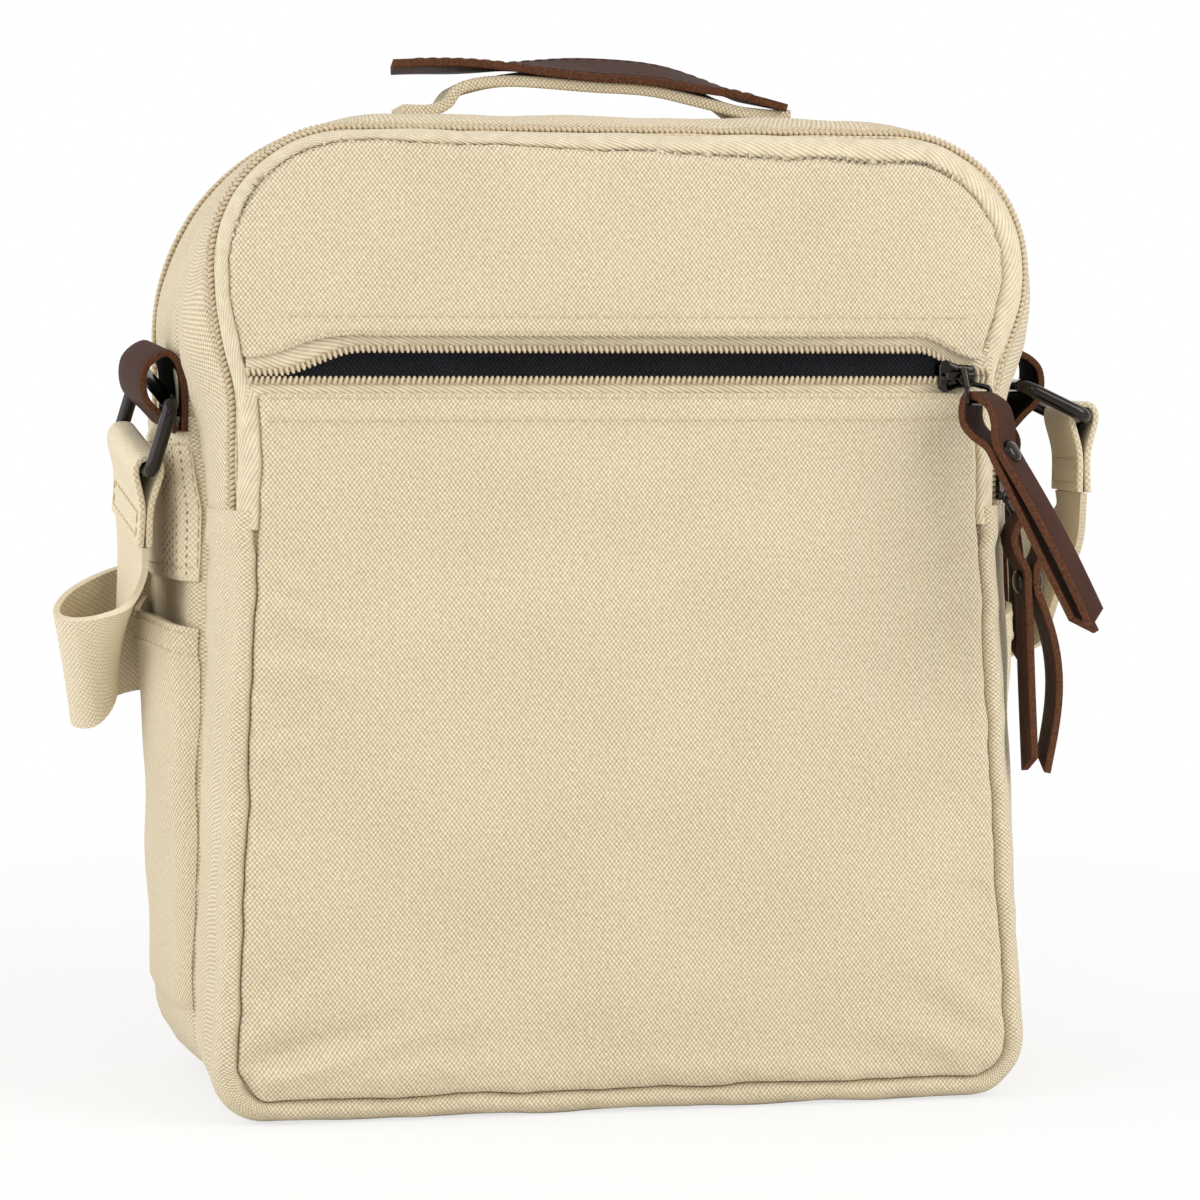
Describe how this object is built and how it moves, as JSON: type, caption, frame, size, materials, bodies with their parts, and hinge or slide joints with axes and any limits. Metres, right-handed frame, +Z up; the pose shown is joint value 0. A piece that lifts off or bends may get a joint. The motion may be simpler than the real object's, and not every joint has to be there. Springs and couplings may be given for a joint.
{
  "type": "canvas shoulder bag",
  "caption": "Boxy khaki canvas shoulder bag with zipped compartments, a zipped front pocket, leather pulls and handle, and a webbing strap on metal rings.",
  "frame": {"origin": "under the middle of the flat base, on the surface it stands on", "axes": "+Z up, -Y out of the front pocket face, +X to the right side as seen from the front"},
  "size_m": [0.2898, 0.184, 0.2821],
  "materials": {
    "canvas": "plain woven cotton canvas, matt",
    "lining": "dark woven lining",
    "zip_tape": "fine twill tape",
    "zip_coil": "nylon coil",
    "webbing": "ribbed cotton webbing",
    "leather": "smooth dark brown with raw edges",
    "gunmetal": "polished gunmetal plating"
  },
  "bodies": {
    "bag": {"back_panel": "canvas", "divider_panel": "canvas", "front_lining": "lining", "upper_front_panel": "canvas", "front_pocket_face": "canvas", "pocket_coil_lower": "zip_coil", "pocket_coil_upper": "zip_coil", "pocket_tape_lower": "zip_tape", "pocket_tape_upper": "zip_tape", "front_gusset": "canvas", "front_zip_tape": "zip_tape", "front_zip_band": "canvas", "main_gusset": "canvas", "main_zip_front_band": "canvas", "main_zip_rear_band": "canvas", "front_coil": "zip_coil", "main_coil": "zip_coil", "side_pocket_left": "canvas", "side_pocket_right": "canvas", "side_patch_left": "webbing", "side_patch_right": "webbing", "ring_tab_left": "leather", "ring_tab_right": "leather", "handle_strap": "canvas", "handle_cover": "leather", "strap_run": "webbing"},
    "pocket_slider": {"pocket_slider": "gunmetal"},
    "pocket_link": {"pocket_link": "gunmetal"},
    "pocket_pull": {"pocket_pull": "leather", "pocket_pull_rivet": "gunmetal"},
    "front_slider": {"front_slider": "gunmetal"},
    "front_link": {"front_link": "gunmetal"},
    "front_pull": {"front_pull": "leather", "front_pull_rivet": "gunmetal"},
    "main_slider": {"main_slider": "gunmetal"},
    "main_link": {"main_link": "gunmetal"},
    "main_pull": {"main_pull": "leather", "main_pull_rivet": "gunmetal"},
    "ring_left": {"ring_left": "gunmetal", "strap_loop_left": "webbing"},
    "ring_right": {"ring_right": "gunmetal", "strap_loop_right": "webbing"}
  },
  "joints": [
    {"name": "pocket_slide", "type": "slide", "parent": "bag", "child": "pocket_slider", "axis": [-1, 0, 0], "range_m": [0, 0.16]},
    {"name": "pocket_link_swing", "type": "hinge", "parent": "pocket_slider", "child": "pocket_link", "pos_m": [0.0875, -0.0514, 0.192], "axis": [-1, 0, 0], "range_deg": [0, 90]},
    {"name": "pocket_pull_swing", "type": "hinge", "parent": "pocket_link", "child": "pocket_pull", "pos_m": [0.0905, -0.057, 0.185], "axis": [-0.7193, -0.6947, 0], "range_deg": [-18, 55]},
    {"name": "front_slide", "type": "slide", "parent": "bag", "child": "front_slider", "axis": [0.0655, 0, 0.9979], "range_m": [0, 0.028], "deforming": ["front_coil"]},
    {"name": "front_link_swing", "type": "hinge", "parent": "front_slider", "child": "front_link", "pos_m": [0.10402, -0.038, 0.16184], "axis": [0, -1, 0], "range_deg": [0, 90]},
    {"name": "front_pull_swing", "type": "hinge", "parent": "front_link", "child": "front_pull", "pos_m": [0.10902, -0.038, 0.15284], "axis": [0, -1, 0], "range_deg": [0, 80]},
    {"name": "main_slide", "type": "slide", "parent": "bag", "child": "main_slider", "axis": [0.0141, 0, 0.9999], "range_m": [0, 0.008], "deforming": ["main_coil"]},
    {"name": "main_link_swing", "type": "hinge", "parent": "main_slider", "child": "main_link", "pos_m": [0.12111, 0.0415, 0.186], "axis": [0, -1, 0], "range_deg": [0, 90]},
    {"name": "main_pull_swing", "type": "hinge", "parent": "main_link", "child": "main_pull", "pos_m": [0.12611, 0.0415, 0.177], "axis": [0, -1, 0], "range_deg": [0, 80]},
    {"name": "ring_left_swing", "type": "hinge", "parent": "bag", "child": "ring_left", "pos_m": [-0.11963, 0.008, 0.1893], "axis": [-0.1254, 0.9647, 0.2315], "range_deg": [0, 45], "deforming": ["strap_run"]},
    {"name": "ring_right_swing", "type": "hinge", "parent": "bag", "child": "ring_right", "pos_m": [0.11963, 0.008, 0.1893], "axis": [-0.1289, -0.9917, 0], "range_deg": [-20, 25], "deforming": ["strap_run"]}
  ]
}
